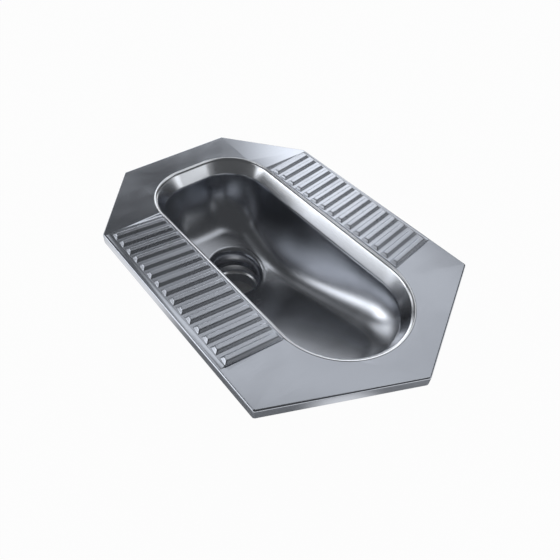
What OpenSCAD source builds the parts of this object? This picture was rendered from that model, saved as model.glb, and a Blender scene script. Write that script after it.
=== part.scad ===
// Squat pan in stainless steel: a seven-sided pressed deck with foot treads, a polished
// flushing rim, a deep bowl that falls to a floor outlet, and the fittings under the deck.
// z = 0 is the finished floor, +Y points to the outlet end and -Y to the pointed front end.

/* [Deck] */
// Width across the two long sides
deck_w = 470; // [450:1:500]
// Length from the front tip to the rear edge
deck_l = 687; // [675:1:720]
// Width of each slanted rear side, measured across the pan
rear_taper_w = 119; // [105:1:135]
// Length of the slanted rear sides, measured along the pan
rear_taper_l = 142; // [125:1:150]
// Length of the pointed front, measured along the pan
nose_l = 113; // [95:1:120]
// Height of the turned-down skirt
skirt_h = 20; // [18:0.5:26]
// Thickness of the deck sheet
sheet_t = 1.5; // [1:0.1:1.8]
// Radius of the bend from the deck into the skirt
deck_edge_r = 3; // [2.4:0.1:4]
// Radius of the skirt's corners in plan
deck_corner_r = 5; // [4.5:0.1:8]
// Width of the flange that turns inwards at the foot of the skirt
return_w = 14; // [10:0.5:16]

/* [Opening] */
// Width of the deck on each side of the opening
opening_side_gap = 116; // [112:1:122]
// Distance from the deck's front tip to the opening
opening_front_gap = 72.5; // [66:0.5:94]
// Distance from the deck's rear edge to the opening
opening_rear_gap = 62.5; // [58:0.5:70]
// Radius of the opening's two rear corners
opening_corner_r = 90; // [80:1:100]

/* [Flushing rim] */
// Height of the polished band, from the deck's top face to its lower edge
band_h = 30.5; // [27:0.5:40]
// How far the band leans inwards at its lower edge
band_draft = 14; // [1:0.1:16]
// Thickness of the band
band_t = 1.5; // [1:0.1:1.8]
// Radius of the rolled lip
lip_r = 4.6; // [2.6:0.1:4.7]
// How far the lip stands above the deck
lip_rise = 0.6; // [0.3:0.05:1]
// Width of the lip, from the opening to the deck's cut edge
lip_w = 6; // [5.5:0.1:6.4]
// Width of the flushing channel behind the opening's edge
channel_w = 12; // [10:0.5:14]
// Depth of the channel's upright below the band's lower edge
channel_drop = 11.5; // [6:0.5:14]
// Width of the channel's flange under the deck
channel_flange_w = 14; // [10:0.5:16]
// Height of the perforated strip above the band's lower edge
strip_rise = 2; // [1:0.5:4]
// Radius of the strip's wash-down holes
wash_hole_r = 2.6; // [1.5:0.1:3]

/* [Foot treads] */
// Distance from rib to rib
rib_pitch = 23; // [19:0.5:26]
// Distance from the rear end of the deck's long side to the middle of the first rib
first_rib_gap = 27.5; // [23:0.5:33]
// Least distance from the front end of the long side to the middle of the last rib
last_rib_gap = 75; // [60:1:120]
// Distance from the ribs to the deck's long edge
rib_edge_gap = 12; // [10:0.5:24]
// Height of a rib above its pad
rib_h = 5; // [3:0.5:6]
// Width of a rib's flat top
rib_top_w = 7.5; // [6:0.5:9]
// Width of a rib at its foot
rib_foot_w = 15.5; // [14:0.5:17]
// Length of the slope at each end of a rib
rib_end_run = 5; // [3:0.5:8]
// Radius of a rib's rounded crest
rib_crest_r = 1.6; // [1:0.1:2]
// Angle by which the ribs' outer ends point to the rear
rib_skew = 7; // [0:0.5:9]
// Distance from the opening to the ribs
rib_lip_gap = 7; // [6.6:0.1:9]
// Height of the pressed pad under the ribs
pad_h = 2; // [1:0.1:2.5]
// Width of the pad's plain margin behind the first rib
pad_margin = 7; // [3:0.5:9]

/* [Bowl] */
// Thickness of the bowl
bowl_t = 1.5; // [1.2:0.1:2]
// Width of the round between the bowl's walls and its floor
bowl_round_w = 70; // [55:1:74]
// Fall of the floor for each unit of length towards the outlet
floor_fall = 0.26; // [0.18:0.01:0.3]
// Distance from the deck's rear edge to the middle of the outlet
outlet_rear_gap = 209.5; // [200:0.5:220]
// Radius of the flared edge around the outlet
flare_r = 66; // [60:0.5:70]
// Depth of the flared edge at the front, from the deck's top face
flare_front_depth = 187; // [175:1:189]
// Depth of the flared edge at the rear, from the deck's top face
flare_rear_depth = 162; // [150:1:172]
// Height of the flare
flare_h = 18; // [12:0.5:20]
// Length of the straight neck below the flare's lowest side
neck_l = 7; // [6:0.5:20]

/* [Outlet] */
// Inner radius of the neck and the outlet spigot
outlet_r = 50.5; // [45:0.5:54]
// Length of the outlet spigot below the neck
outlet_l = 53; // [45:1:80]
// Extra wall of the outlet spigot inside the collar and the seal
outlet_shoulder_t = 1.5; // [1:0.1:2]
// Inner radius of the ledge ring inside the spigot
ledge_r = 44.5; // [38:0.5:46]
// Height of the ledge ring
ledge_h = 4; // [2:0.5:6]
// Distance from the neck's lower end down to the ledge ring
ledge_drop = 17; // [1:0.5:20]
// Thickness of the collar around the joint
collar_t = 4; // [2:0.5:6]
// Height of the collar
collar_h = 12; // [8:0.5:16]
// How far the collar laps up over the neck
collar_lap = 2.5; // [1:0.5:4]
// Thickness of the rubber seal
seal_t = 5.5; // [4:0.5:8]
// Height of the rubber seal
seal_h = 8; // [6:0.5:12]

/* [Flush inlet] */
// Outer radius of the inlet spigot
inlet_r = 16; // [12:0.5:16.5]
// Wall of the inlet spigot
inlet_t = 1.5; // [1:0.1:2]
// Depth of the inlet's axis below the floor line
inlet_drop = 25; // [22:0.5:30]
// Width of the inlet box
inlet_box_w = 56; // [50:1:58]
// Depth of the inlet box along the pan
inlet_box_l = 20; // [16:0.5:24]
// Wall of the inlet box
inlet_box_t = 1.5; // [1:0.1:2]
// Width of the window between the inlet box and the channel
window_w = 44; // [30:1:46]
// Height of the window
window_h = 20; // [14:0.5:22]
// Width of the baffle plate behind the band
baffle_w = 50; // [40:1:54]
// Height of the baffle plate
baffle_h = 20; // [14:0.5:22]
// Thickness of the baffle plate
baffle_t = 1.2; // [1:0.1:1.5]

/* [Stiffeners and anchors] */
// Width of a stiffener's channel
stiffener_w = 20; // [16:0.5:22]
// Width of each stiffener flange
stiffener_flange_w = 9; // [6:0.5:10]
// Height of a stiffener
stiffener_h = 14; // [10:0.5:15]
// Thickness of a stiffener
stiffener_t = 1.5; // [1:0.1:2]
// Distance from the ends of the treads to the ends of the stiffeners under them
side_stiffener_gap = 12; // [6:1:50]
// Length of the front stiffener
front_stiffener_l = 70; // [50:1:76]
// Distance from the ends of the deck's rear edge to the ends of the rear stiffener
rear_stiffener_gap = 21; // [16:0.5:50]
// Width of an anchor lug
lug_w = 32; // [24:1:40]
// Thickness of an anchor lug
lug_t = 2.5; // [2:0.1:3]
// Depth of the anchor feet below the floor line
lug_drop = 36; // [30:1:60]
// Length of an anchor foot
lug_foot_l = 30; // [24:1:34]
// Distance between the front and rear anchor holes
anchor_spacing = 240; // [180:1:280]
// Radius of the anchor holes
anchor_hole_r = 4.5; // [3.5:0.1:5.5]

/* [Earth point and damping] */
// Radius of the earth bolt's shank
earth_bolt_r = 3; // [2.5:0.5:4]
// Radius of the bolt's thinner end, which takes the earth lead
earth_stud_r = 2.5; // [1.8:0.1:2.5]
// Length of the earth bolt below its head
earth_bolt_l = 20; // [18:0.5:26]
// Width of the earth tag
earth_tag_w = 16; // [14:0.5:22]
// Thickness of the earth tag
earth_tag_t = 2; // [1.5:0.1:3]
// Length of the damping pads
damping_l = 60; // [40:1:62]
// Width of the damping pads
damping_w = 12; // [8:0.5:13]
// Thickness of the damping pads
damping_t = 3; // [2:0.5:5]
// Distance along the deck's slanted edges from its long sides to the pads
damping_gap = 52; // [51:0.5:56]

/* [Hidden] */
$fn = 96;

// How far a cut runs past the face it opens
overrun = 1;
// Gap left between round pieces that sit close together
seat_gap = 0.3;
// Gap between a bolt's shank and its nut
thread_gap = 0.1;

// Steps of the faceted shapes
corner_steps = 3;
edge_steps = 3;
crest_steps = 3;
front_steps = 16;
side_steps = 8;
rear_steps = 6;
wall_steps = 6;
floor_steps = 5;
flare_steps = 4;
cut_steps_share = 3;

// Deck
rear_y = deck_l / 2;
front_y = -deck_l / 2;
side_x = deck_w / 2;
rear_edge_w = deck_w - 2 * rear_taper_w;
long_side_l = deck_l - rear_taper_l - nose_l;
deck_under_z = skirt_h - sheet_t;
deck_corners = [
    [0, front_y],
    [side_x, front_y + nose_l],
    [side_x, rear_y - rear_taper_l],
    [rear_edge_w / 2, rear_y],
    [-rear_edge_w / 2, rear_y],
    [-side_x, rear_y - rear_taper_l],
    [-side_x, front_y + nose_l]
];

// Opening
open_x = side_x - opening_side_gap;
open_rear_y = rear_y - opening_rear_gap;
open_front_y = front_y + opening_front_gap;
front_centre_y = open_front_y + open_x;
corner_r = min(opening_corner_r, open_x - baffle_w / 2);
corner_x = open_x - corner_r;
corner_y = open_rear_y - corner_r;

// Flushing rim
band_foot_z = skirt_h - band_h;
channel_foot_z = band_foot_z - channel_drop;
strip_z = band_foot_z + strip_rise;
lip_top_z = skirt_h + lip_rise;
roll_r = min(lip_r, lip_w - 2 * lip_rise);

// Treads
rib_l = opening_side_gap - rib_lip_gap - rib_edge_gap;
rib_count = 1 + floor((long_side_l - first_rib_gap - last_rib_gap) / rib_pitch);
rib_mid_x = open_x + rib_lip_gap + rib_l / 2;
first_rib_y = rear_y - rear_taper_l - first_rib_gap;
last_rib_y = first_rib_y - (rib_count - 1) * rib_pitch;
pad_top_z = skirt_h + pad_h;
pad_in_x = open_x + rib_lip_gap;
pad_out_x = side_x - deck_edge_r;
pad_rear = first_rib_y + rib_foot_w / 2 + pad_margin;
pad_front = last_rib_y - rib_foot_w / 2;

// Bowl and outlet
outlet_y = rear_y - outlet_rear_gap;
flare_front_z = skirt_h - flare_front_depth;
flare_rear_z = skirt_h - flare_rear_depth;
neck_foot_z = flare_front_z - flare_h - neck_l;
outlet_wall_r = outlet_r + bowl_t;
bowl_bend_w = min(bowl_round_w, open_x + channel_w - outlet_wall_r);
outlet_foot_z = neck_foot_z - outlet_l;
collar_z = neck_foot_z + collar_lap - collar_h;
seal_foot_z = collar_z - seal_h;
shoulder_r = outlet_wall_r + outlet_shoulder_t;

// Flush inlet
inlet_box_front_y = open_rear_y + channel_w + bowl_t;
inlet_box_rear_y = inlet_box_front_y + inlet_box_l;
inlet_box_top_z = deck_under_z - bowl_t;
inlet_box_foot_z = -inlet_drop - inlet_r - 2 * inlet_box_t;
window_z = (strip_z + bowl_t + inlet_box_top_z - window_h) / 2;

// Stiffeners, lugs, earth point
side_stiffener_x = (open_x + channel_w + channel_flange_w + side_x - return_w) / 2;
treads_mid_y = (pad_rear + pad_front) / 2;
side_stiffener_l = pad_rear - pad_front - 2 * side_stiffener_gap;
lug_x = side_x - return_w - lug_t;
anchor_x = lug_x - lug_foot_l / 2;
long_side_y = (front_y + nose_l + rear_y - rear_taper_l) / 2;
earth_x = -side_x + return_w + 1.5 * earth_tag_w;
earth_web_y = rear_y - rear_taper_l + earth_tag_w / 2;
earth_bolt_y = earth_web_y - earth_tag_w / 2;
earth_foot_z = deck_under_z - 3.5 * earth_bolt_r - earth_tag_t;
earth_washer_t = 0.5 * earth_bolt_r;
earth_nut_h = 1.6 * earth_bolt_r;
earth_head_h = 1.3 * earth_bolt_r;
earth_hex_r = 1.9 * earth_bolt_r;
earth_washer_r = 2 * earth_bolt_r;
earth_head_z = earth_foot_z + earth_tag_t + earth_washer_t;
earth_shank_l = earth_tag_t + 2 * earth_washer_t + earth_nut_h;

steel = "#a7acb5";
polished = "#d3d7dd";
plate = "#8d939c";
rubber = "#2b2c30";
bitumen = "#3a3834";

// Points on an arc
function arc(cx, cy, r, from, to, steps) =
    [for (i = [0:steps]) let (a = from + (to - from) * i / steps)
        [cx + r * cos(a), cy + r * sin(a)]];

// The opening's outline, grown outwards, with points dense enough for a shell or a cut
function rim_outline(grow, fine = 1) = concat(
    arc(0, front_centre_y, open_x + grow, 180, 360, front_steps * fine),
    [for (i = [1:side_steps - 1])
        [open_x + grow, front_centre_y + (corner_y - front_centre_y) * i / side_steps]],
    arc(corner_x, corner_y, corner_r + grow, 0, 90, rear_steps * fine),
    arc(-corner_x, corner_y, corner_r + grow, 90, 180, rear_steps * fine),
    [for (i = [side_steps - 1:-1:1])
        [-open_x - grow, front_centre_y + (corner_y - front_centre_y) * i / side_steps]]
);

// Inward normal of the edge from a to b of a counter-clockwise outline
function inward(a, b) = let (d = (b - a) / norm(b - a)) [-d.y, d.x];
function before(i) = deck_corners[(i + len(deck_corners) - 1) % len(deck_corners)];
function after(i) = deck_corners[(i + 1) % len(deck_corners)];

// The deck's corner i, moved inwards by a distance from both its edges
function deck_corner(i, inset) =
    let (c = deck_corners[i], n1 = inward(before(i), c), n2 = inward(c, after(i)))
    c + (n1 + n2) * inset / (1 + n1 * n2);

// The deck's outline with round corners, moved inwards
function deck_outline(inset) =
    [for (i = [0:len(deck_corners) - 1])
        let (
            c = deck_corners[i],
            n1 = inward(before(i), c),
            n2 = inward(c, after(i)),
            from = atan2(-n1.y, -n1.x),
            turn = (atan2(-n2.y, -n2.x) - from + 360) % 360,
            mid = deck_corner(i, deck_corner_r)
        )
        each arc(mid.x, mid.y, deck_corner_r - inset, from, from + turn, corner_steps)];

function at_height(outline, z) = [for (p = outline) [p.x, p.y, z]];

// Rings of the skirt and its bend, at a distance inside the outer face
function skirt_rings(inset, foot_z) = concat(
    [at_height(deck_outline(inset), foot_z)],
    [for (i = [0:edge_steps])
        let (a = 90 * i / edge_steps, r = deck_edge_r - inset)
        at_height(deck_outline(inset + r * (1 - cos(a))), skirt_h - deck_edge_r + r * sin(a))]
);

// Height of the flared edge around the outlet, by the share of the way to its rear
function flare_z(rear_share) = flare_front_z + (flare_rear_z - flare_front_z) * rear_share;
function rear_share_of(p) =
    let (d = norm([p.x, p.y - outlet_y])) (1 + (p.y - outlet_y) / d) / 2;

// Height of the bowl's floor under a point
function floor_z(p) =
    flare_z(rear_share_of(p)) + floor_fall * (norm([p.x, p.y - outlet_y]) - flare_r);

// Point at a distance from the outlet's axis, in the direction of p
function round_outlet(p, r) =
    let (d = norm([p.x, p.y - outlet_y])) [p.x * r / d, outlet_y + (p.y - outlet_y) * r / d];

// Rings of one skin of the bowl from its top edge to the neck, t outside the inner skin
function bowl_rings(t) =
    let (foot = rim_outline(channel_w + t - bowl_bend_w))
    concat(
        [for (i = [0:wall_steps]) let (a = 90 * i / wall_steps)
            [for (p = rim_outline(channel_w + t - bowl_bend_w * (1 - cos(a))))
                let (z = floor_z(p) - t)
                [p.x, p.y, z + (channel_foot_z - z) * (1 - sin(a))]]],
        [for (i = [1:floor_steps])
            [for (p = foot)
                let (q = p + (round_outlet(p, flare_r) - p) * i / floor_steps)
                [q.x, q.y, floor_z(q) - t]]],
        [for (i = [1:flare_steps]) let (a = 90 * i / flare_steps)
            [for (p = foot)
                let (q = round_outlet(p, outlet_r + t + (flare_r - outlet_r - t) * (1 - sin(a))))
                [q.x, q.y, flare_z(rear_share_of(p)) - t - (flare_h - t) * (1 - cos(a))]]],
        [at_height([for (p = foot) round_outlet(p, outlet_r + t)], neck_foot_z)]
    );

function reversed(list) = [for (i = [len(list) - 1:-1:0]) list[i]];

// Triangles between ring a and ring b of n points each
function band_faces(a, b, n) =
    [for (i = [0:n - 1]) let (j = (i + 1) % n)
        each [[a * n + i, b * n + i, b * n + j], [a * n + i, b * n + j, a * n + j]]];

// A solid that fills a stack of rings
module stack(rings) {
    n = len(rings[0]);
    last = len(rings) - 1;
    polyhedron(
        points = [for (ring = rings) each ring],
        faces = concat(
            [[for (i = [0:n - 1]) i]],
            [for (k = [0:last - 1]) each band_faces(k, k + 1, n)],
            [[for (i = [n - 1:-1:0]) last * n + i]]
        )
    );
}

// A closed shell whose skin runs down one side of its wall and up the other
module shell(rings) {
    n = len(rings[0]);
    count = len(rings);
    polyhedron(
        points = [for (ring = rings) each ring],
        faces = [for (k = [0:count - 1]) each band_faces(k, (k + 1) % count, n)]
    );
}

// Carries a section round the opening: x is the distance outwards, y the height
module along_rim() {
    translate([0, front_centre_y, 0]) rotate([0, 0, 180])
        rotate_extrude(angle = 180) translate([open_x, 0]) children();
    translate([-corner_x, open_rear_y, 0]) rotate([90, 0, 90])
        linear_extrude(2 * corner_x) children();
    for (side = [0, 1]) mirror([side, 0, 0]) {
        translate([open_x, corner_y, 0]) rotate([90, 0, 0])
            linear_extrude(corner_y - front_centre_y) children();
        translate([corner_x, corner_y, 0])
            rotate_extrude(angle = 90) translate([corner_r, 0]) children();
    }
}

// Both sides of the pan
module both_sides() {
    for (side = [0, 1]) mirror([side, 0, 0]) children();
}

module tube(r_out, r_in, h) {
    difference() {
        cylinder(r = r_out, h = h);
        translate([0, 0, -overrun]) cylinder(r = r_in, h = h + 2 * overrun);
    }
}

// Outline of a rib seen from its end or its side: a raised form with sloping sides and round
// crests, smaller all round by shrink and carried down by root
module rib_outline(half_foot, run, shrink, root) {
    foot = half_foot - shrink;
    top = half_foot - run - shrink / 2;
    h = rib_h - shrink;
    crest = rib_crest_r - shrink / 2;
    lean = atan2(run, rib_h);
    polygon(concat(
        [[foot, -root], [foot, 0]],
        arc(top - crest, h - crest, crest, lean, 90, crest_steps),
        arc(crest - top, h - crest, crest, 90, 180 - lean, crest_steps),
        [[-foot, 0], [-foot, -root]]
    ));
}

module rib(shrink, root) {
    intersection() {
        translate([-rib_l / 2, 0, 0]) rotate([90, 0, 90]) linear_extrude(rib_l)
            rib_outline(rib_foot_w / 2, (rib_foot_w - rib_top_w) / 2, shrink, root);
        translate([0, rib_foot_w / 2, 0]) rotate([90, 0, 0]) linear_extrude(rib_foot_w)
            rib_outline(rib_l / 2, rib_end_run, shrink, root);
    }
}

module ribs(shrink, root) {
    both_sides()
        for (k = [0:rib_count - 1])
            translate([rib_mid_x, first_rib_y - k * rib_pitch, pad_top_z])
                rotate([0, 0, rib_skew]) rib(shrink, root);
}

// One level of the pressed pad under the ribs, drawn in from its foot
function pad_ring(inset, out_inset, front_inset, z) =
    let (
        in_x = pad_in_x + inset,
        out_x = pad_out_x - out_inset,
        front = pad_front + front_inset,
        rear = pad_rear - inset
    )
    [for (p = [[in_x, front], [out_x, front], [out_x, rear], [in_x, rear]])
        [p.x, p.y + (p.x - rib_mid_x) * tan(rib_skew), z]];

// The pads, sunk by drop and carried down by root; they slope down to the deck's long edges
module pads(drop, root) {
    out_run = pad_out_x - rib_mid_x - rib_l / 2;
    both_sides() stack([
        pad_ring(drop, drop, drop, skirt_h - drop - root),
        pad_ring(drop, drop, drop, skirt_h - drop),
        pad_ring(drop + pad_h, drop + out_run, drop, pad_top_z - drop)
    ]);
}

module deck_plate() {
    color(plate) difference() {
        union() {
            difference() {
                stack(skirt_rings(0, 0));
                stack(skirt_rings(sheet_t, sheet_t));
                translate([0, 0, -overrun]) linear_extrude(sheet_t + 2 * overrun)
                    polygon([for (i = [0:len(deck_corners) - 1]) deck_corner(i, return_w)]);
            }
            pads(0, sheet_t / 2);
            ribs(0, pad_h);
        }
        translate([0, 0, skirt_h / 2]) linear_extrude(skirt_h)
            polygon(rim_outline(lip_w, cut_steps_share));
        pads(sheet_t, sheet_t);
        ribs(sheet_t, sheet_t + overrun);
    }
}

module rim_band() {
    mid_z = lip_top_z - roll_r;
    inner_r = roll_r - band_t;
    step_w = lip_rise;
    color(polished) along_rim() polygon(concat(
        [[-band_draft, band_foot_z]],
        reversed(arc(roll_r, mid_z, inner_r + band_t, 90, 180, edge_steps * 2)),
        [[lip_w - 2 * step_w, lip_top_z], [lip_w - step_w, skirt_h], [lip_w - seat_gap, skirt_h],
            [lip_w - seat_gap, deck_under_z]],
        arc(roll_r, mid_z, inner_r, 90, 180, edge_steps * 2),
        [[band_t - band_draft, band_foot_z]]
    ));
}

// Distance of the band's back face from the opening's edge, at a height
function band_back(z) =
    let (top = lip_top_z - roll_r) band_t - band_draft * (top - z) / (top - band_foot_z);

module window() {
    translate([-window_w / 2, open_rear_y, window_z])
        cube([window_w, inlet_box_front_y + inlet_box_t + overrun - open_rear_y, window_h]);
}

module rim_channel() {
    out_x = channel_w + bowl_t;
    flange_z = deck_under_z - bowl_t;
    color(steel) difference() {
        along_rim() polygon([
            [channel_w, channel_foot_z],
            [out_x, channel_foot_z],
            [out_x, flange_z],
            [channel_w + channel_flange_w, flange_z],
            [channel_w + channel_flange_w, deck_under_z],
            [channel_w, deck_under_z]
        ]);
        window();
    }
}

module wash_strip() {
    top_z = strip_z + bowl_t;
    mid_w = (band_back(strip_z) + channel_w) / 2;
    color(steel) difference() {
        along_rim() polygon([
            [band_back(strip_z) + seat_gap, strip_z],
            [channel_w - seat_gap, strip_z],
            [channel_w - seat_gap, top_z],
            [band_back(top_z) + seat_gap, top_z]
        ]);
        for (p = rim_outline(mid_w))
            translate([p.x, p.y, strip_z - overrun])
                cylinder(r = wash_hole_r, h = bowl_t + 2 * overrun);
    }
}

module flush_baffle() {
    foot_z = strip_z + bowl_t;
    mid_w = (band_back(foot_z) + channel_w) / 2;
    color(steel) translate([-baffle_w / 2, open_rear_y + mid_w, foot_z])
        cube([baffle_w, baffle_t, baffle_h]);
}

module inlet_box() {
    h = inlet_box_top_z - inlet_box_foot_z;
    inner = [inlet_box_w - 2 * inlet_box_t, inlet_box_l - 2 * inlet_box_t, h - 2 * inlet_box_t];
    color(steel) difference() {
        translate([-inlet_box_w / 2, inlet_box_front_y, inlet_box_foot_z])
            cube([inlet_box_w, inlet_box_l, h]);
        translate([-inner.x / 2, inlet_box_front_y + inlet_box_t, inlet_box_foot_z + inlet_box_t])
            cube(inner);
        window();
        translate([0, inlet_box_rear_y - inlet_box_t - overrun, -inlet_drop]) rotate([-90, 0, 0])
            cylinder(r = inlet_r - inlet_t, h = inlet_box_t + 2 * overrun);
    }
}

module inlet_spigot() {
    color(steel) translate([0, inlet_box_rear_y, -inlet_drop]) rotate([-90, 0, 0])
        tube(inlet_r, inlet_r - inlet_t, rear_y - inlet_box_rear_y);
}

module bowl_shell() {
    color(steel) shell(concat(bowl_rings(0), reversed(bowl_rings(bowl_t))));
}

module outlet_collar() {
    in_r = shoulder_r + seat_gap;
    color(steel) translate([0, outlet_y, collar_z]) tube(in_r + collar_t, in_r, collar_h);
}

// Pipe that is thicker where the collar and the seal sit
module outlet_spigot() {
    color(steel) translate([0, outlet_y, 0]) rotate_extrude() polygon([
        [outlet_r, outlet_foot_z],
        [outlet_wall_r, outlet_foot_z],
        [outlet_wall_r, seal_foot_z],
        [shoulder_r, seal_foot_z],
        [shoulder_r, neck_foot_z],
        [outlet_r, neck_foot_z]
    ]);
}

// Ring whose upper edge slopes down to its hole
module outlet_ledge() {
    out_r = outlet_r - seat_gap;
    color(polished) translate([0, outlet_y, neck_foot_z - ledge_drop - ledge_h])
        rotate_extrude() polygon([
            [ledge_r, 0],
            [out_r, 0],
            [out_r, ledge_h],
            [ledge_r, ledge_h / 2]
        ]);
}

// Rubber ring with a sloping lower edge that leads the drain pipe on
module outlet_seal() {
    in_r = shoulder_r + seat_gap;
    color(rubber) translate([0, outlet_y, seal_foot_z])
        rotate_extrude() polygon([
            [in_r, 0],
            [in_r + seal_t / 2, 0],
            [in_r + seal_t, seal_h / 2],
            [in_r + seal_t, seal_h],
            [in_r, seal_h]
        ]);
}

// Channel with a flange on each side, open upwards
module hat_section() {
    web = stiffener_w / 2;
    wall = web - stiffener_t;
    wing = web + stiffener_flange_w;
    polygon([
        [-wing, 0],
        [-wing, -stiffener_t],
        [-web, -stiffener_t],
        [-web, -stiffener_h],
        [web, -stiffener_h],
        [web, -stiffener_t],
        [wing, -stiffener_t],
        [wing, 0],
        [wall, 0],
        [wall, stiffener_t - stiffener_h],
        [-wall, stiffener_t - stiffener_h],
        [-wall, 0]
    ]);
}

module right_stiffener() {
    color(steel)
        translate([side_stiffener_x, treads_mid_y + side_stiffener_l / 2, pad_top_z - sheet_t])
            rotate([90, 0, 0]) linear_extrude(side_stiffener_l) hat_section();
}

module left_stiffener() {
    mirror([1, 0, 0]) right_stiffener();
}

// Angle under the deck that runs across the pan, its web on the side away from the opening
module cross_stiffener(length) {
    color(steel) translate([-length / 2, 0, deck_under_z]) rotate([90, 0, 90])
        linear_extrude(length) polygon([
            [0, 0],
            [0, -stiffener_t],
            [stiffener_flange_w + stiffener_t, -stiffener_t],
            [stiffener_flange_w + stiffener_t, -stiffener_h],
            [stiffener_flange_w + 2 * stiffener_t, -stiffener_h],
            [stiffener_flange_w + 2 * stiffener_t, 0]
        ]);
}

module rear_stiffener() {
    translate([0, inlet_box_rear_y + seat_gap, 0]) cross_stiffener(rear_edge_w - 2 * rear_stiffener_gap);
}

module front_stiffener() {
    translate([0, open_front_y - channel_w - channel_flange_w - seat_gap, 0])
        rotate([0, 0, 180]) cross_stiffener(front_stiffener_l);
}

// Bent strap: its head lies on the skirt's return flange and its foot is drilled for an anchor
module anchor_lug(y) {
    head_x = side_x - 2 * sheet_t;
    leg_x = lug_x + lug_t;
    foot_x = lug_x - lug_foot_l;
    color(steel) difference() {
        translate([0, y + lug_w / 2, 0]) rotate([90, 0, 0]) linear_extrude(lug_w) polygon([
            [head_x, sheet_t],
            [head_x, sheet_t + lug_t],
            [lug_x, sheet_t + lug_t],
            [lug_x, lug_t - lug_drop],
            [foot_x, lug_t - lug_drop],
            [foot_x, -lug_drop],
            [leg_x, -lug_drop],
            [leg_x, sheet_t]
        ]);
        translate([anchor_x, y, -lug_drop - overrun])
            cylinder(r = anchor_hole_r, h = lug_t + 2 * overrun);
    }
}

module front_right_lug() {
    anchor_lug(long_side_y - anchor_spacing / 2);
}

module rear_right_lug() {
    anchor_lug(long_side_y + anchor_spacing / 2);
}

module front_left_lug() {
    mirror([1, 0, 0]) front_right_lug();
}

module rear_left_lug() {
    mirror([1, 0, 0]) rear_right_lug();
}

module earth_tag() {
    color(steel) difference() {
        translate([earth_x - earth_tag_w / 2, earth_web_y, 0]) rotate([90, 0, 90])
            linear_extrude(earth_tag_w) polygon([
                [0, deck_under_z],
                [0, earth_foot_z + earth_tag_t],
                [-earth_tag_w, earth_foot_z + earth_tag_t],
                [-earth_tag_w, earth_foot_z],
                [earth_tag_t, earth_foot_z],
                [earth_tag_t, deck_under_z - earth_tag_t],
                [earth_tag_w, deck_under_z - earth_tag_t],
                [earth_tag_w, deck_under_z]
            ]);
        on_earth_bolt(earth_foot_z + earth_tag_t + overrun)
            cylinder(r = earth_bolt_r + seat_gap, h = earth_tag_t + 2 * overrun);
    }
}

// Moves a piece that is drawn upwards from z = 0 on to the earth bolt, pointing down from height z
module on_earth_bolt(z) {
    translate([earth_x, earth_bolt_y, z]) rotate([180, 0, 0]) children();
}

module earth_bolt() {
    color(steel) {
        on_earth_bolt(earth_head_z) cylinder(r = earth_bolt_r, h = earth_shank_l);
        on_earth_bolt(earth_head_z) cylinder(r = earth_stud_r, h = earth_bolt_l);
        on_earth_bolt(earth_head_z + earth_head_h)
            cylinder(r = earth_hex_r, h = earth_head_h, $fn = 6);
    }
}

module earth_washers() {
    color(steel) for (z = [earth_head_z, earth_foot_z])
        on_earth_bolt(z) tube(earth_washer_r, earth_bolt_r + seat_gap, earth_washer_t);
}

module earth_nut() {
    color(steel) on_earth_bolt(earth_foot_z - earth_washer_t) difference() {
        cylinder(r = earth_hex_r, h = earth_nut_h, $fn = 6);
        translate([0, 0, -overrun])
            cylinder(r = earth_bolt_r + thread_gap, h = earth_nut_h + 2 * overrun);
    }
}

// Strip of damping material under the deck, along its edge from corner a to corner b
module damping_strip(a, b, start) {
    d = (b - a) / norm(b - a);
    foot = return_w + lug_t;
    top = foot + damping_w;
    color(bitumen) translate([0, 0, deck_under_z - damping_t])
        linear_extrude(damping_t) polygon(
            [for (p = [[0, foot], [damping_l, foot], [damping_l, top], [0, top]])
                a + d * (start + p.x) + inward(a, b) * p.y]
        );
}

module front_right_pad() {
    a = deck_corners[0];
    b = deck_corners[1];
    damping_strip(a, b, norm(b - a) - damping_gap - damping_l);
}

module rear_right_pad() {
    damping_strip(deck_corners[2], deck_corners[3], damping_gap);
}

module front_left_pad() {
    mirror([1, 0, 0]) front_right_pad();
}

module rear_left_pad() {
    mirror([1, 0, 0]) rear_right_pad();
}

deck_plate();
rim_band();
rim_channel();
wash_strip();
flush_baffle();
inlet_box();
inlet_spigot();
bowl_shell();
outlet_collar();
outlet_spigot();
outlet_ledge();
outlet_seal();
left_stiffener();
right_stiffener();
front_stiffener();
rear_stiffener();
front_left_lug();
front_right_lug();
rear_left_lug();
rear_right_lug();
earth_tag();
earth_bolt();
earth_washers();
earth_nut();
front_left_pad();
front_right_pad();
rear_left_pad();
rear_right_pad();
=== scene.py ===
import math
import bpy
import bmesh
from mathutils import Matrix, Vector


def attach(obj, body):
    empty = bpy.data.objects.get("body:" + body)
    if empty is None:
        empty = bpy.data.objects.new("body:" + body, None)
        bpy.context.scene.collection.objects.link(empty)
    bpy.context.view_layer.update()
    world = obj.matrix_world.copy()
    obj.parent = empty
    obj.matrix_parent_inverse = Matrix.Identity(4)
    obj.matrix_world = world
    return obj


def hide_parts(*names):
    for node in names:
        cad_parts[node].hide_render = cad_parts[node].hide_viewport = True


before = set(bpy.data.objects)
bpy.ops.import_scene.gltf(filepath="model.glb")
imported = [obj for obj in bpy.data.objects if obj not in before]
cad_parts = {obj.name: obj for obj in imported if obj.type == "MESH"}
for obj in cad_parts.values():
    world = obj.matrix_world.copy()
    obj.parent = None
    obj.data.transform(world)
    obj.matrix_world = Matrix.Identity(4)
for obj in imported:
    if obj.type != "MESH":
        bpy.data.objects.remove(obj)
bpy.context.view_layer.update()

scene = bpy.context.scene
mm = 0.001
weld = 0.01 * mm
tiny = 0.001 * mm
longEdge = 20 * mm


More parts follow.
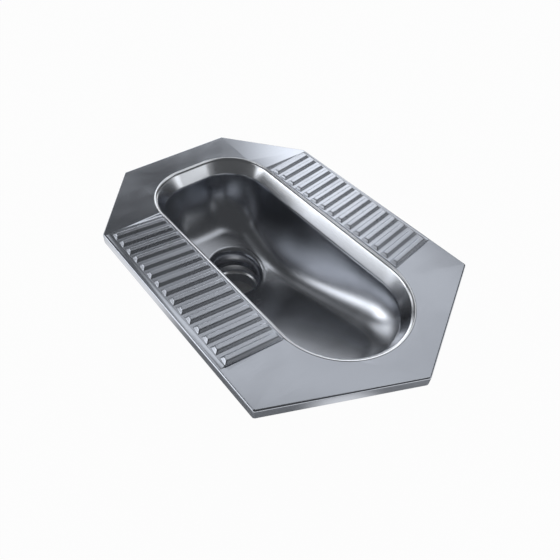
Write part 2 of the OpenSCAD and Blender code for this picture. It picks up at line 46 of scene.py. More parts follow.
# shader helpers
class Flow:
    # one value in a node tree; sums and products on it add Math nodes
    def __init__(self, tree, socket=None):
        self.tree = tree
        self.socket = socket

    def node(self, kind, settings, values, output=0):
        made = self.tree.nodes.new(kind)
        for name, value in settings.items():
            setattr(made, name, value)
        for name, value in values.items():
            if isinstance(value, Flow):
                self.tree.links.new(value.socket, made.inputs[name])
            else:
                made.inputs[name].default_value = value
        return Flow(self.tree, made.outputs[output])

    def math(self, operation, first, second=0.0):
        return self.node("ShaderNodeMath", {"operation": operation}, {0: first, 1: second})

    def __add__(self, other):
        return self.math("ADD", self, other)

    def __radd__(self, other):
        return self.math("ADD", other, self)

    def __sub__(self, other):
        return self.math("SUBTRACT", self, other)

    def __rsub__(self, other):
        return self.math("SUBTRACT", other, self)

    def __mul__(self, other):
        return self.math("MULTIPLY", self, other)

    def __rmul__(self, other):
        return self.math("MULTIPLY", other, self)


def stepUp(value, low, high):
    # 0 below low, 1 above high, smooth between
    return value.node("ShaderNodeMapRange", {"interpolation_type": "SMOOTHSTEP"},
                      {"Value": value, "From Min": low, "From Max": high})


def window(value, low, high, soft):
    # 1 between low and high, with soft shoulders
    return stepUp(value, low - soft, low + soft) * (1 - stepUp(value, high - soft, high + soft))


def mixColors(flow, share, first, second):
    return flow.node("ShaderNodeMix", {"data_type": "RGBA"},
                     {0: share, 6: first, 7: second}, output=2)


def newMaterial(name):
    material = bpy.data.materials.new(name)
    material.use_nodes = True
    material.node_tree.nodes.clear()
    return material, Flow(material.node_tree)


def closeMaterial(material, shader):
    out = material.node_tree.nodes.new("ShaderNodeOutputMaterial")
    material.node_tree.links.new(shader.socket, out.inputs["Surface"])
    return material


# camera, where the photo's was: place in metres, turn in degrees, lens and sensor in mm
camera = {
    "place": (-0.45490, -0.49290, 0.64352),
    "turn": (43.0967, -3.5077, -39.4950),
    "lens": 33.317,
    "sensor": 36.0,
    "nearest": 0.01,
    "farthest": 50.0,
}


def makeCamera(values):
    data = bpy.data.cameras.new("photoCamera")
    data.lens = values["lens"]
    data.sensor_width = values["sensor"]
    data.clip_start = values["nearest"]
    data.clip_end = values["farthest"]
    holder = bpy.data.objects.new("photoCamera", data)
    scene.collection.objects.link(holder)
    holder.location = values["place"]
    holder.rotation_euler = [math.radians(a) for a in values["turn"]]
    scene.camera = holder


makeCamera(camera)
print("camera placed")


# materials
def objectPlace(flow, scale=(1.0, 1.0, 1.0), turn=0.0):
    place = flow.node("ShaderNodeTexCoord", {}, {}, "Object")
    return flow.node("ShaderNodeMapping", {},
                     {"Vector": place, "Scale": scale, "Rotation": (0.0, 0.0, turn)})


def axisPlace(flow, axis):
    place = flow.node("ShaderNodeTexCoord", {}, {}, "Object")
    return flow.node("ShaderNodeSeparateXYZ", {}, {0: place}, axis)


def noise(flow, place, scale, detail, rough):
    return flow.node("ShaderNodeTexNoise", {},
                     {"Vector": place, "Scale": scale, "Detail": detail, "Roughness": rough}, "Fac")


# stainless sheet: marks per metre along, across and down the brushing, and how far each counts
finish = {
    "fine": (60.0, 3200.0, 1100.0),
    "coarse": (9.0, 620.0, 240.0),
    "hair": (4.0, 1500.0, 500.0),
    "hairTurn": 0.2,
    "clouds": 9.0,
    "cloudRough": 0.06,
    "wipedStretch": (1.0, 1.6, 1.0),
    "wipedTurn": 0.6,
    "wiped": 11.0,
    # from and to of each mark in its noise
    "wipedRange": (0.42, 0.8),
    "hairRange": (0.72, 0.8),
    "hairyRange": (0.45, 0.7),
    "hairRough": 0.04,
    "fineShare": 0.6,
    "coarseShare": 0.4,
    "bumpStrength": 0.05,
    "bumpDepth": 0.1 * mm,
    # the treads' pads, which are duller: from and to on each side and along, and the soft edge
    "treadSide": (0.127, 0.2235, 0.0008),
    "treadAlong": (-0.158, 0.192, 0.001),
}


def steel(name, tone, rough, grain=0.10, grainTurn=0.0, smudge=0.06, cloud=0.05, scratch=0.2,
          treadRough=0.0):
    # brushing along one way, clouded finish, hair scratches and wiped smudges
    material, flow = newMaterial(name)
    fine = noise(flow, objectPlace(flow, finish["fine"], grainTurn), 1.0, 3.0, 0.6)
    coarse = noise(flow, objectPlace(flow, finish["coarse"], grainTurn), 1.0, 3.0, 0.6)
    clouds = noise(flow, objectPlace(flow), finish["clouds"], 4.0, 0.55)
    wipedPlace = objectPlace(flow, finish["wipedStretch"], finish["wipedTurn"])
    wiped = stepUp(noise(flow, wipedPlace, finish["wiped"], 2.0, 0.5), *finish["wipedRange"])
    hairPlace = objectPlace(flow, finish["hair"], grainTurn + finish["hairTurn"])
    streaks = noise(flow, hairPlace, 1.0, 1.0, 0.4)
    hairline = stepUp(streaks, *finish["hairRange"]) * stepUp(clouds, *finish["hairyRange"])
    shade = 1 + (clouds - 0.5) * (2 * cloud) + (coarse - 0.5) * (0.5 * grain)
    colour = flow.node("ShaderNodeVectorMath", {"operation": "SCALE"}, {0: tone, "Scale": shade},
                       "Vector")
    roughness = (rough + (fine - 0.5) * grain + (clouds - 0.5) * finish["cloudRough"]
                 + wiped * smudge + hairline * finish["hairRough"])
    if treadRough:
        side = flow.math("ABSOLUTE", axisPlace(flow, "X"))
        onTread = (window(side, *finish["treadSide"])
                   * window(axisPlace(flow, "Y"), *finish["treadAlong"]))
        roughness = roughness + onTread * treadRough
    relief = fine * finish["fineShare"] + coarse * finish["coarseShare"] - hairline * scratch
    bump = flow.node("ShaderNodeBump", {},
                     {"Strength": finish["bumpStrength"], "Distance": finish["bumpDepth"],
                      "Height": relief}, "Normal")
    shader = flow.node("ShaderNodeBsdfPrincipled", {},
                       {"Base Color": colour, "Metallic": 1.0, "Roughness": roughness,
                        "Normal": bump}, "BSDF")
    return closeMaterial(material, shader)


deckSteel = steel("deckSteel", (0.575, 0.60, 0.655), 0.19, treadRough=0.07)
polishedSteel = steel("polishedSteel", (0.86, 0.875, 0.905), 0.20, grain=0.04, smudge=0.04,
                      cloud=0.03, scratch=0.15)
bowlSteel = steel("bowlSteel", (0.60, 0.62, 0.665), 0.23, grain=0.05, grainTurn=1.2, smudge=0.04,
                  cloud=0.04, scratch=0.03)
millSteel = steel("millSteel", (0.50, 0.515, 0.54), 0.34, grain=0.14, cloud=0.09)
pipeSteel = steel("pipeSteel", (0.74, 0.755, 0.79), 0.22, grain=0.05, smudge=0.04, cloud=0.05,
                  scratch=0.1)
boltSteel = steel("boltSteel", (0.60, 0.60, 0.62), 0.22, grain=0.08)


def makeRubber():
    material, flow = newMaterial("sealRubber")
    plain = objectPlace(flow)
    grit = noise(flow, plain, 900.0, 3.0, 0.6)
    bloom = stepUp(noise(flow, plain, 35.0, 4.0, 0.6), 0.45, 0.75)
    colour = mixColors(flow, bloom * 0.5, (0.022, 0.022, 0.025, 1), (0.07, 0.07, 0.075, 1))
    bump = flow.node("ShaderNodeBump", {}, {"Strength": 0.3, "Distance": 0.0002, "Height": grit},
                     "Normal")
    return closeMaterial(material, flow.node("ShaderNodeBsdfPrincipled", {}, {
        "Base Color": colour, "Roughness": 0.55 + bloom * 0.2, "Normal": bump}, "BSDF"))


def makeDamping():
    material, flow = newMaterial("dampingSheet")
    plain = objectPlace(flow)
    grit = noise(flow, plain, 420.0, 4.0, 0.7)
    paintedGlowPatches = noise(flow, plain, 60.0, 3.0, 0.5)
    colour = mixColors(flow, paintedGlowPatches, (0.035, 0.033, 0.03, 1), (0.085, 0.08, 0.072, 1))
    bump = flow.node("ShaderNodeBump", {}, {"Strength": 0.5, "Distance": 0.0004, "Height": grit},
                     "Normal")
    return closeMaterial(material, flow.node("ShaderNodeBsdfPrincipled", {}, {
        "Base Color": colour, "Roughness": 0.75 + paintedGlowPatches * 0.15, "Normal": bump}, "BSDF"))


sealRubber = makeRubber()
dampingSheet = makeDamping()
print("materials made")


# mesh helpers
def finishPiece(bm, name, material, node, smoothAngle, recalc=True):
    bmesh.ops.remove_doubles(bm, verts=bm.verts, dist=weld)
    if recalc:
        bmesh.ops.recalc_face_normals(bm, faces=bm.faces)
    mesh = bpy.data.meshes.new(name)
    bm.to_mesh(mesh)
    bm.free()
    mesh.shade_smooth()
    mesh.set_sharp_from_angle(angle=math.radians(smoothAngle))
    mesh.materials.append(material)
    piece = bpy.data.objects.new(name, mesh)
    scene.collection.objects.link(piece)
    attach(piece, "root")
    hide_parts(node)
    return piece


def addSolidify(piece, thickness):
    wall = piece.modifiers.new("wall", "SOLIDIFY")
    wall.thickness = thickness
    wall.offset = -1.0
    wall.use_even_offset = False


def addWeighted(piece):
    flat = piece.modifiers.new("flatFaces", "WEIGHTED_NORMAL")
    flat.keep_sharp = True


# the opening's size, which the deck, the rim and the bowl all follow
opening = {
    "halfWidth": 119 * mm,
    "rear": 281 * mm,
    "front": -271 * mm,
    "cornerRadius": 90 * mm,
    "arcSteps": 24,
}
frontCentre = opening["front"] + opening["halfWidth"]
cornerX = opening["halfWidth"] - opening["cornerRadius"]
cornerY = opening["rear"] - opening["cornerRadius"]


def freshEdges(bm, before):
    # edges at the points made since before
    return list({e for v in bm.verts if v not in before for e in v.link_edges})


def openingLoop(bm, grow, height, cuts):
    # closed wire round the opening, grown outwards: a rectangle with rounded corners
    w = opening["halfWidth"] + grow
    corners = [bm.verts.new(p) for p in (
        (w, opening["rear"] + grow, height), (-w, opening["rear"] + grow, height),
        (-w, opening["front"] - grow, height), (w, opening["front"] - grow, height))]
    for i in range(4):
        bm.edges.new((corners[i], corners[(i + 1) % 4]))
    before = set(bm.verts) - set(corners)
    bmesh.ops.bevel(bm, geom=corners[:2], offset=opening["cornerRadius"] + grow,
                    segments=opening["arcSteps"], profile=0.5, affect="VERTICES", material=-1)
    bmesh.ops.bevel(bm, geom=corners[2:], offset=w, segments=opening["arcSteps"],
                    profile=0.5, affect="VERTICES", material=-1)
    made = [v for v in bm.verts if v not in before]
    bmesh.ops.remove_doubles(bm, verts=made, dist=weld)
    if cuts:
        long = [e for e in freshEdges(bm, before) if e.calc_length() > longEdge]
        bmesh.ops.subdivide_edges(bm, edges=long, cuts=cuts)
    return freshEdges(bm, before)


def outward(p):
    # way out of the opening at a point of its outline
    if p.y < frontCentre:
        way = Vector((p.x, p.y - frontCentre, 0))
    elif p.y > cornerY and abs(p.x) > cornerX:
        way = Vector((p.x - math.copysign(cornerX, p.x), p.y - cornerY, 0))
    elif p.y > cornerY:
        way = Vector((0, 1, 0))
    else:
        way = Vector((p.x, 0, 0))
    return way.normalized()


def sweepRound(bm, profile):
    # carries a wire profile, drawn at the right-hand side's front end, once round the opening
    edges = list(profile)

    def straight(edges, way):
        made = bmesh.ops.extrude_edge_only(bm, edges=edges)["geom"]
        moved = [g for g in made if isinstance(g, bmesh.types.BMVert)]
        bmesh.ops.translate(bm, vec=way, verts=moved)
        return [g for g in made if isinstance(g, bmesh.types.BMEdge)
                and all(v in moved for v in g.verts)]

    def bend(edges, centre, angle, steps):
        verts = list({v for e in edges for v in e.verts})
        made = bmesh.ops.spin(bm, geom=verts + edges, cent=centre, axis=(0, 0, 1),
                              angle=math.radians(angle), steps=steps)["geom_last"]
        return [g for g in made if isinstance(g, bmesh.types.BMEdge)]

    steps = opening["arcSteps"]
    edges = straight(edges, Vector((0, cornerY - frontCentre, 0)))
    edges = bend(edges, (cornerX, cornerY, 0), 90, steps)
    edges = straight(edges, Vector((-2 * cornerX, 0, 0)))
    edges = bend(edges, (-cornerX, cornerY, 0), 90, steps)
    edges = straight(edges, Vector((0, frontCentre - cornerY, 0)))
    bend(edges, (0, frontCentre, 0), 180, 2 * steps)
    bmesh.ops.remove_doubles(bm, verts=bm.verts, dist=weld)


# deck, its corners in mm
deck = {
    "corners": [(0, -343.5), (235, -230.5), (235, 201.5), (116, 343.5),
                (-116, 343.5), (-235, 201.5), (-235, -230.5)],
    "height": 20 * mm,
    "cornerRadius": 5 * mm,
    "bendRadius": 3 * mm,
    "bendSteps": 5,
    "footRadius": 1.6 * mm,
    "footSteps": 3,
    "flange": 14 * mm,
    "sheet": 1.5 * mm,
    "cutEdge": 6 * mm,
    "smoothAngle": 50.0,
}
# the right-hand tread, which is mirrored for the left
tread = {
    "middle": 174.5 * mm,
    "shift": 0.8 * mm,
    "padIn": 125.9 * mm,
    "padOut": 232 * mm,
    "padFront": -156.6 * mm,
    "padRear": 188.75 * mm,
    "padHeight": 2 * mm,
    "padRun": 1.0 * mm,
    "padFlat": 0.4 * mm,  # shift of the flat ring round the pad
    "padStep": 1.0 * mm,  # set-in of the pad's outer foot
    "padFootRadius": 0.35 * mm,
    "inRun": 0.3 * mm,
    "outRun": 6.8 * mm,
    "count": 15,
    "firstRib": 174 * mm,
    "pitch": 23 * mm,
    "length": 94.4 * mm,
    "foot": 15.5 * mm,
    "skew": 7.0,
    "ring": 0.9 * mm,
    "hipRadius": 1.3 * mm,
    "hipSteps": 3,
    # run and rise of each step of a rib's side: flat ring, foot fillet, slope, round crest
    "profile": [(0.4 * mm, 0), (0.5 * mm, 0.08 * mm), (0.45 * mm, 0.25 * mm),
                (0.45 * mm, 0.47 * mm), (2.0 * mm, 2.55 * mm), (0.5 * mm, 0.6 * mm),
                (0.5 * mm, 0.48 * mm), (0.55 * mm, 0.34 * mm), (0.6 * mm, 0.18 * mm),
                (0.6 * mm, 0.05 * mm)],
}


def atHeight(edge, height):
    return all(abs(v.co.z - height) < tiny for v in edge.verts)


def flatFill(bm, edges):
    bmesh.ops.triangle_fill(bm, use_beauty=True, use_dissolve=False, edges=edges,
                            normal=(0, 0, 1))


def openRims(bm, before, height):
    # open edges at one height among what was made since before
    return [e for e in bm.edges if e.is_boundary and e.verts[0] not in before
            and atHeight(e, height)]


def pressUp(bm, face, steps):
    # insets a face again and again, each time by a run and a rise
    for run, rise in steps:
        bmesh.ops.inset_region(bm, faces=[face], thickness=run, depth=rise,
                               use_even_offset=True, use_boundary=True)


def makeRib(bm, x, y, base):
    # a square-ended bar pressed up out of a flat ring, its four hips rounded
    half = Vector((tread["length"] / 2 + tread["ring"], tread["foot"] / 2 + tread["ring"], 0))
    turn = Matrix.Rotation(math.radians(tread["skew"]), 4, "Z")
    spot = Vector((x, y, base))
    verts = [bm.verts.new(spot + turn @ Vector((half.x * i, half.y * j, 0)))
             for i, j in ((-1, -1), (1, -1), (1, 1), (-1, 1))]
    top = bm.faces.new(verts)
    known = set(bm.edges) - set(top.edges)
    pressUp(bm, top, tread["profile"])
    hips = []
    for edge in bm.edges:
        if edge in known or not all(v.co.z > base - tiny for v in edge.verts):
            continue
        way = turn.inverted() @ (edge.verts[0].co - edge.verts[1].co)
        out = max((v.co - spot).length for v in edge.verts)
        if abs(abs(way.x) - abs(way.y)) < weld and out < half.length - tread["profile"][0][0]:
            hips.append(edge)
    bmesh.ops.bevel(bm, geom=hips, offset=tread["hipRadius"], segments=tread["hipSteps"],
                    profile=0.5, affect="EDGES", material=-1)


def makePad(bm):
    # the raised pad under one row of ribs, from a flat ring on the deck to its top edge
    lean = math.tan(math.radians(tread["skew"]))
    ring = tread["ring"]

    def quad(inX, outX, front, rear, height):
        points = [(inX, front), (outX, front), (outX, rear), (inX, rear)]
        return [bm.verts.new((x, y + (x - tread["middle"]) * lean, height)) for x, y in points]

    low = quad(tread["padIn"] - tread["padFlat"], tread["padOut"] - tread["padFlat"],
               tread["padFront"] - ring, tread["padRear"] + ring, deck["height"])
    foot = quad(tread["padIn"], tread["padOut"] - tread["padStep"], tread["padFront"],
                tread["padRear"], deck["height"])
    run = tread["padRun"]
    top = quad(tread["padIn"] + tread["inRun"], tread["padOut"] - tread["outRun"],
               tread["padFront"] + run, tread["padRear"] - run,
               deck["height"] + tread["padHeight"])
    loops = []
    for ringVerts in (low, foot, top):
        loops.append([bm.edges.new((ringVerts[i], ringVerts[(i + 1) % 4])) for i in range(4)])
    bmesh.ops.bridge_loops(bm, edges=loops[0] + loops[1])
    bmesh.ops.bridge_loops(bm, edges=loops[1] + loops[2])
    bmesh.ops.bevel(bm, geom=loops[1], offset=tread["padFootRadius"], segments=2, profile=0.5,
                    affect="EDGES", material=-1)


def makeDeck():
    bm = bmesh.new()
    outline = [bm.verts.new((x * mm, y * mm, 0)) for x, y in deck["corners"]]
    base = bm.faces.new(outline)
    made = bmesh.ops.extrude_face_region(bm, geom=[base])["geom"]
    bmesh.ops.translate(bm, vec=(0, 0, deck["height"]),
                        verts=[g for g in made if isinstance(g, bmesh.types.BMVert)])
    bmesh.ops.recalc_face_normals(bm, faces=bm.faces)
    # the upright corners, each with the same radius in plan
    uprights = [e for e in bm.edges if abs(e.verts[0].co.z - e.verts[1].co.z) > tiny]
    for edge in uprights:
        turn = edge.calc_face_angle()
        bmesh.ops.bevel(bm, geom=[edge], offset=deck["cornerRadius"] * math.tan(turn / 2),
                        segments=deck["bendSteps"], profile=0.5, affect="EDGES", material=-1)
    bmesh.ops.bevel(bm, geom=[e for e in bm.edges if atHeight(e, deck["height"])],
                    offset=deck["bendRadius"], segments=deck["bendSteps"], profile=0.5,
                    affect="EDGES", material=-1)
    bmesh.ops.bevel(bm, geom=[e for e in bm.edges if atHeight(e, 0)], offset=deck["footRadius"],
                    segments=deck["footSteps"], profile=0.5, affect="EDGES", material=-1)
    # the closed top and bottom are the only faces with many corners
    lids = [f for f in bm.faces if len(f.verts) > 2 * len(deck["corners"])]
    bmesh.ops.delete(bm, geom=lids, context="FACES_ONLY")
    topRim = [e for e in bm.edges if e.is_boundary and atHeight(e, deck["height"])]
    footRim = [e for e in bm.edges if e.is_boundary and atHeight(e, 0)]
    # return flange at the foot of the skirt
    inner = []
    count = len(deck["corners"])
    for i, corner in enumerate(deck["corners"]):
        here = Vector(corner) * mm
        back = (here - Vector(deck["corners"][i - 1]) * mm).normalized()
        ahead = (Vector(deck["corners"][(i + 1) % count]) * mm - here).normalized()
        n1, n2 = Vector((-back.y, back.x)), Vector((-ahead.y, ahead.x))
        spot = here + (n1 + n2) * deck["flange"] / (1 + n1.dot(n2))
        inner.append(bm.verts.new((spot.x, spot.y, 0)))
    flangeRim = [bm.edges.new((inner[i], inner[(i + 1) % count])) for i in range(count)]
    flatFill(bm, footRim + flangeRim)
    # opening and pads
    hole = openingLoop(bm, deck["cutEdge"], deck["height"], 0)
    padTop = deck["height"] + tread["padHeight"]
    padRims = []
    for side in (1, -1):
        before = set(bm.verts)
        makePad(bm)
        for k in range(tread["count"]):
            y = tread["firstRib"] - k * tread["pitch"]
            makeRib(bm, tread["middle"] + tread["shift"], y, padTop)
        flatFill(bm, openRims(bm, before, padTop))
        padRims += openRims(bm, before, deck["height"])
        if side < 0:
            fresh = [v for v in bm.verts if v not in before]
            bmesh.ops.scale(bm, vec=(-1, 1, 1), verts=fresh)
    flatFill(bm, topRim + hole + padRims)
    bmesh.ops.recalc_face_normals(bm, faces=bm.faces)
    piece = finishPiece(bm, "pressedDeck", deckSteel, "deck_plate",
                        deck["smoothAngle"], False)
    addSolidify(piece, deck["sheet"])
    addWeighted(piece)
    return piece


pressedDeck = makeDeck()
print("deck made", len(pressedDeck.data.polygons))


# flushing rim: points of its section, outwards from the opening's edge and up from the floor
rim = {
    "foot": (-14 * mm, -10.5 * mm),
    "lip": (0.2 * mm, 19.75 * mm),
    "seat": (5.15 * mm, 20.6 * mm),
    "end": (5.7 * mm, 20.0 * mm),
    "lipRadius": 4.2 * mm,
    "lipSteps": 12,
    "seatRadius": 0.4 * mm,
    "seatSteps": 3,
    "cuts": 5,
    "thickness": 1.5 * mm,
    "smoothAngle": 50.0,
}


def makeRim():
    bm = bmesh.new()
    spots = [(opening["halfWidth"] + rim[k][0], frontCentre, rim[k][1])
             for k in ("foot", "lip", "seat", "end")]
    verts = [bm.verts.new(p) for p in spots]
    for pair in zip(verts, verts[1:]):
        bm.edges.new(pair)
    for corner, name in ((1, "lip"), (2, "seat")):
        nearest = min(bm.verts, key=lambda v: (v.co - Vector(spots[corner])).length)
        bmesh.ops.bevel(bm, geom=[nearest], offset=rim[name + "Radius"],
                        segments=rim[name + "Steps"], profile=0.5, affect="VERTICES", material=-1)
    long = [e for e in bm.edges if e.calc_length() > longEdge]
    bmesh.ops.subdivide_edges(bm, edges=long, cuts=rim["cuts"])
    sweepRound(bm, list(bm.edges))
    bmesh.ops.recalc_face_normals(bm, faces=bm.faces)
    low = min(bm.faces, key=lambda f: f.calc_center_median().z)
    if low.normal.dot(outward(low.calc_center_median())) > 0:
        bmesh.ops.reverse_faces(bm, faces=bm.faces)
    piece = finishPiece(bm, "rimBand", polishedSteel, "rim_band",
                        rim["smoothAngle"], False)
    addSolidify(piece, rim["thickness"])
    addWeighted(piece)
    return piece


rimBand = makeRim()
print("rim made", len(rimBand.data.polygons))


# bowl: its wall rounds off into a floor that falls to a flare, and the flare turns down into
# the neck
bowl = {
    "top": -22 * mm,
    "setBack": 12 * mm,
    "round": 70 * mm,
    "outletY": 134 * mm,
    "fall": 0.26,
    "flareRadius": 66 * mm,
    "flareFront": -167 * mm,
    "flareRear": -142 * mm,
    "flareHeight": 18 * mm,
    "neckRadius": 50.5 * mm,
    "neckFoot": -192 * mm,
    "thickness": 1.5 * mm,
    "cuts": 18,
    "wallRings": 28,
    "floorRings": 12,
    "flareRings": 10,
    "smoothRounds": 3,
    "smoothFactor": 0.4,
    "smoothAngle": 60.0,
}


def fromOutlet(p):
    return Vector((p.x, p.y - bowl["outletY"], 0))


def aroundOutlet(p, radius):
    # point at a radius from the outlet's middle, on the side where p is
    return Vector((0, bowl["outletY"], 0)) + fromOutlet(p).normalized() * radius


def flareZ(p):
    away = fromOutlet(p).normalized()
    return bowl["flareFront"] + (bowl["flareRear"] - bowl["flareFront"]) * (1 + away.y) / 2


def floorZ(p):
    return flareZ(p) + bowl["fall"] * (fromOutlet(p).length - bowl["flareRadius"])


def makeBowl():
    bm = bmesh.new()
    loop = openingLoop(bm, bowl["setBack"], bowl["top"], bowl["cuts"])
    homes = {v: (v.co.copy(), outward(v.co)) for e in loop for v in e.verts}

    def nextRing(edges, homes, place):
        made = bmesh.ops.extrude_edge_only(bm, edges=edges)["geom"]
        verts = [g for g in made if isinstance(g, bmesh.types.BMVert)]
        fresh = {}
        for v in verts:
            old = next(e.other_vert(v) for e in v.link_edges if e.other_vert(v) in homes)
            fresh[v] = homes[old]
            v.co = place(*homes[old])
        ringEdges = [g for g in made if isinstance(g, bmesh.types.BMEdge)
                     and all(v in fresh for v in g.verts)]
        return ringEdges, fresh

    edges = loop
    for i in range(1, bowl["wallRings"] + 1):
        turn = math.pi / 2 * i / bowl["wallRings"]

        def onWall(home, way):
            p = home - way * bowl["round"] * (1 - math.cos(turn))
            low = floorZ(p)
            return Vector((p.x, p.y, low + (bowl["top"] - low) * (1 - math.sin(turn))))
        edges, homes = nextRing(edges, homes, onWall)
    for i in range(1, bowl["floorRings"] + 1):
        share = i / bowl["floorRings"]

        def onFloor(home, way):
            p = home - way * bowl["round"]
            q = aroundOutlet(p, bowl["flareRadius"])
            p = Vector((p.x, p.y, 0)).lerp(q, share)
            return Vector((p.x, p.y, floorZ(p)))
        edges, homes = nextRing(edges, homes, onFloor)
    for i in range(1, bowl["flareRings"] + 1):
        turn = math.pi / 2 * i / bowl["flareRings"]

        def onFlare(home, way):
            p = home - way * bowl["round"]
            reach = bowl["flareRadius"] - bowl["neckRadius"]
            q = aroundOutlet(p, bowl["neckRadius"] + reach * (1 - math.sin(turn)))
            return Vector((q.x, q.y, flareZ(p) - bowl["flareHeight"] * (1 - math.cos(turn))))
        edges, homes = nextRing(edges, homes, onFlare)

    def onNeck(home, way):
        p = home - way * bowl["round"]
        q = aroundOutlet(p, bowl["neckRadius"])
        return Vector((q.x, q.y, bowl["neckFoot"]))
    edges, homes = nextRing(edges, homes, onNeck)
    inner = [v for v in bm.verts if not v.is_boundary]
    for _ in range(bowl["smoothRounds"]):
        bmesh.ops.smooth_vert(bm, verts=inner, factor=bowl["smoothFactor"], use_axis_x=True,
                              use_axis_y=True, use_axis_z=True)
    bmesh.ops.recalc_face_normals(bm, faces=bm.faces)
    high = max(bm.faces, key=lambda f: f.calc_center_median().z)
    if high.normal.dot(outward(high.calc_center_median())) > 0:
        bmesh.ops.reverse_faces(bm, faces=bm.faces)
    piece = finishPiece(bm, "drawnBowl", bowlSteel, "bowl_shell",
                        bowl["smoothAngle"], False)
    addSolidify(piece, bowl["thickness"])
    return piece


drawnBowl = makeBowl()
print("bowl made", len(drawnBowl.data.polygons))


# outlet
outlet = {
    "centre": (0, bowl["outletY"], 0),
    "turns": 96,
    "edgeSteps": 3,
    "smoothAngle": 40.0,
    # sections in mm: corners as (radius, height), and the radius of each rounded corner
    "pipe": {
        "section": [(50.5, -245), (52, -245), (52, -209.5), (53.5, -209.5), (53.5, -192),
                    (50.5, -192)],
        "rounded": {0: 0.4, 1: 0.4},
    },
    "ledge": {
        "section": [(44.5, -213), (50.2, -213), (50.2, -209), (44.5, -211)],
        "rounded": {3: 0.9, 0: 0.6},
    },
    "collar": {
        "section": [(53.8, -201.5), (57.8, -201.5), (57.8, -189.5), (53.8, -189.5)],
        "rounded": {1: 0.6, 2: 0.6},
    },
    "seal": {
        "section": [(53.8, -209.5), (56.55, -209.5), (59.3, -205.5), (59.3, -201.5),
                    (53.8, -201.5)],
        "rounded": {1: 0.8, 2: 0.8, 3: 0.5},
    },
}


def spinPiece(name, material, node, part):
    # turns a closed section about the outlet's upright axis
    bm = bmesh.new()
    centre = Vector(outlet["centre"])
    verts = [bm.verts.new(centre + Vector((r * mm, 0, z * mm))) for r, z in part["section"]]
    for i, vert in enumerate(verts):
        bm.edges.new((vert, verts[(i + 1) % len(verts)]))
    for i, size in part["rounded"].items():
        bmesh.ops.bevel(bm, geom=[verts[i]], offset=size * mm, segments=outlet["edgeSteps"],
                        profile=0.5, affect="VERTICES", material=-1)
    bmesh.ops.spin(bm, geom=list(bm.verts) + list(bm.edges), cent=centre, axis=(0, 0, 1),
                   angle=2 * math.pi, steps=outlet["turns"], use_merge=True)
    finishPiece(bm, name, material, node, outlet["smoothAngle"])


spinPiece("outletPipe", pipeSteel, "outlet_spigot", outlet["pipe"])
spinPiece("ledgeRing", polishedSteel, "outlet_ledge", outlet["ledge"])
spinPiece("collarRing", millSteel, "outlet_collar", outlet["collar"])
spinPiece("sealRing", sealRubber, "outlet_seal", outlet["seal"])
print("outlet made")


# carried-over pieces
def dress(node, material):
    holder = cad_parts[node]
    holder.data.materials.clear()
    holder.data.materials.append(material)


for node in ("rim_channel", "wash_strip", "flush_baffle", "inlet_box", "inlet_spigot",
             "left_stiffener", "right_stiffener", "front_stiffener", "rear_stiffener",
             "front_left_lug", "front_right_lug", "rear_left_lug", "rear_right_lug", "earth_tag"):
    dress(node, millSteel)
for node in ("earth_bolt", "earth_washers", "earth_nut"):
    dress(node, boltSteel)
for node in ("front_left_pad", "front_right_pad", "rear_left_pad", "rear_right_pad"):
    dress(node, dampingSheet)
print("other pieces dressed")


# studio
studio = {
    "floorHeight": -0.2452,
    "floorHalf": 6.0,
    "floorPaint": (0.9, 0.9, 0.9, 1),
    "floorGlow": 0.97,
    "tint": (0.955, 0.975, 1.0, 1.0),
    "base": 0.07,
    # soft boxes: heading of the middle from +Y towards +X, half width, foot and top above the
    # horizon, edge softness, all in degrees, and the level
    "boxes": {
        "horizon": (0, 181, -40, 6, 4, 0.45),
        "key": (48, 9, 26, 40, 5, 1.75),
        "keyLow": (42, 14, 16, 25, 5, 1.0),
        "keyRight": (58, 20, 38, 48, 5, 0.85),
        "top": (42, 36, 50, 64, 5, 0.7),
        "keyFoot": (27, 10, 12, 28, 5, 1.3),
        "lowRear": (22, 11, -6, 12, 5, 1.4),
        "lowRight": (66, 12, 2, 14, 5, 0.9),
        "left": (-47, 18, 15, 29, 5, 2.8),
        "leftLow": (-62, 12, -4, 13, 5, 1.4),
        "leftEdge": (-72, 8, 27, 37, 4, 1.3),
        "rearLeft": (-22, 13, 8, 24, 5, 0.6),
        "rear": (-9, 8, 13, 36, 5, 0.9),
        "rearLeftHigh": (-24, 12, 52, 70, 5, 1.1),
        "overhead": (106, 24, 62, 74, 5, 1.0),
        "tread": (34, 9, 47, 55, 4, 0.25),
        "sideRight": (98, 18, 43, 60, 6, 0.8),
        "frontRight": (138, 10, 15, 29, 8, 0.65),
        "front": (163, 10, 14, 24, 5, 0.4),
        "frontLow": (148, 9, -1, 13, 8, 1.4),
    },
    # radius where the dark of the drain and of the ground under the pan starts to end, and
    # where it has ended
    "drainDark": (0.055, 0.075),
    "nearDark": (0.50, 0.95),
    # painted glowing patches of the ground, seen only in mirrors, which put painted highlights
    # on the skirt and the pipe: place, core and edge radius, level
    "paintedGlowPatches": {
        "front": (-0.09, -0.41, 0.03, 0.10, 1.0),
        "left": (-0.33, 0.34, 0.08, 0.26, 1.0),
        "outer": (-0.62, -0.30, 0.10, 0.26, 1.0),
        "drain": (-0.02, 0.11, 0.01, 0.05, 0.4),
    },
}


def boxLevel(heading, height, middle, half, foot, top, soft, level):
    share = window(height, foot, top, soft) * level
    if half < 180:
        turned = heading.math("WRAP", heading - middle, 180.0)
        turned.socket.node.inputs[2].default_value = -180.0
        share = share * window(turned, -half, half, soft)
    return share


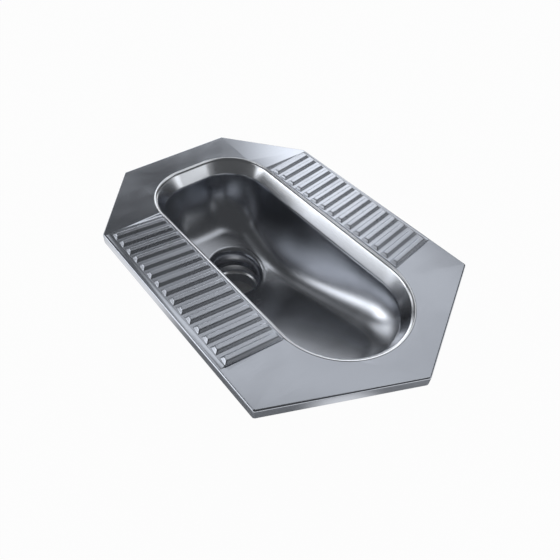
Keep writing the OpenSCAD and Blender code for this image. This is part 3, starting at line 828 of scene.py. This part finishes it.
def makeWorld():
    world = bpy.data.worlds.new("studio")
    scene.world = world
    world.use_nodes = True
    world.node_tree.nodes.clear()
    flow = Flow(world.node_tree)
    way = flow.node("ShaderNodeTexCoord", {}, {}, "Generated")
    x, y, z = (flow.node("ShaderNodeSeparateXYZ", {}, {0: way}, axis) for axis in "XYZ")
    heading = flow.math("ARCTAN2", x, y) * (180 / math.pi)
    height = flow.math("ARCSINE", z) * (180 / math.pi)
    level = studio["base"]
    for values in studio["boxes"].values():
        level = boxLevel(heading, height, *values) + level
    seen = flow.node("ShaderNodeLightPath", {}, {}, "Is Camera Ray")
    strength = seen + (1 - seen) * level
    colour = mixColors(flow, seen, studio["tint"], (1, 1, 1, 1))
    shade = flow.node("ShaderNodeBackground", {}, {"Color": colour, "Strength": strength})
    out = world.node_tree.nodes.new("ShaderNodeOutputWorld")
    world.node_tree.links.new(shade.socket, out.inputs["Surface"])


def awayFrom(flow, spot):
    place = flow.node("ShaderNodeTexCoord", {}, {}, "Object")
    return flow.node("ShaderNodeVectorMath", {"operation": "DISTANCE"}, {0: place, 1: spot}, "Value")


def makeFloor():
    # white to the camera and to metal that mirrors it, apart from the shaded ground under the pan;
    # painted glowing patches put painted highlights on the metal
    material, flow = newMaterial("paleFloor")
    seen = flow.node("ShaderNodeLightPath", {}, {}, "Is Camera Ray")
    glossy = flow.node("ShaderNodeLightPath", {}, {}, "Is Glossy Ray")
    clear = flow.node("ShaderNodeLightPath", {}, {}, "Is Transmission Ray")
    drain = (0.0, bowl["outletY"], studio["floorHeight"])
    outside = stepUp(awayFrom(flow, drain), *studio["drainDark"])
    # glow that mirroring rays see: white further out, plus painted glowing patches that the skirt
    # and pipe show as painted highlights
    paintedMirrorGlow = stepUp(awayFrom(flow, (0.0, 0.0, studio["floorHeight"])), *studio["nearDark"])
    for x, y, core, edge, level in studio["paintedGlowPatches"].values():
        spot = (x, y, studio["floorHeight"])
        paintedGlowSpot = (1 - stepUp(awayFrom(flow, spot), core, edge)) * level
        paintedMirrorGlow = flow.math("MAXIMUM", paintedMirrorGlow, paintedGlowSpot)
    share = seen * outside * studio["floorGlow"] + (glossy + clear) * paintedMirrorGlow
    paint = flow.node("ShaderNodeBsdfDiffuse", {}, {"Color": studio["floorPaint"]})
    glow = flow.node("ShaderNodeEmission", {}, {"Color": (1, 1, 1, 1), "Strength": 1.0})
    both = flow.node("ShaderNodeMixShader", {}, {0: share, 1: paint, 2: glow})
    closeMaterial(material, both)
    bm = bmesh.new()
    bmesh.ops.create_grid(bm, x_segments=1, y_segments=1, size=studio["floorHalf"])
    bmesh.ops.translate(bm, vec=(0, 0, studio["floorHeight"]), verts=bm.verts)
    mesh = bpy.data.meshes.new("studioFloor")
    bm.to_mesh(mesh)
    bm.free()
    mesh.materials.append(material)
    floor = bpy.data.objects.new("studioFloor", mesh)
    scene.collection.objects.link(floor)


makeWorld()
makeFloor()
scene.view_settings.view_transform = "Standard"
print("studio made")
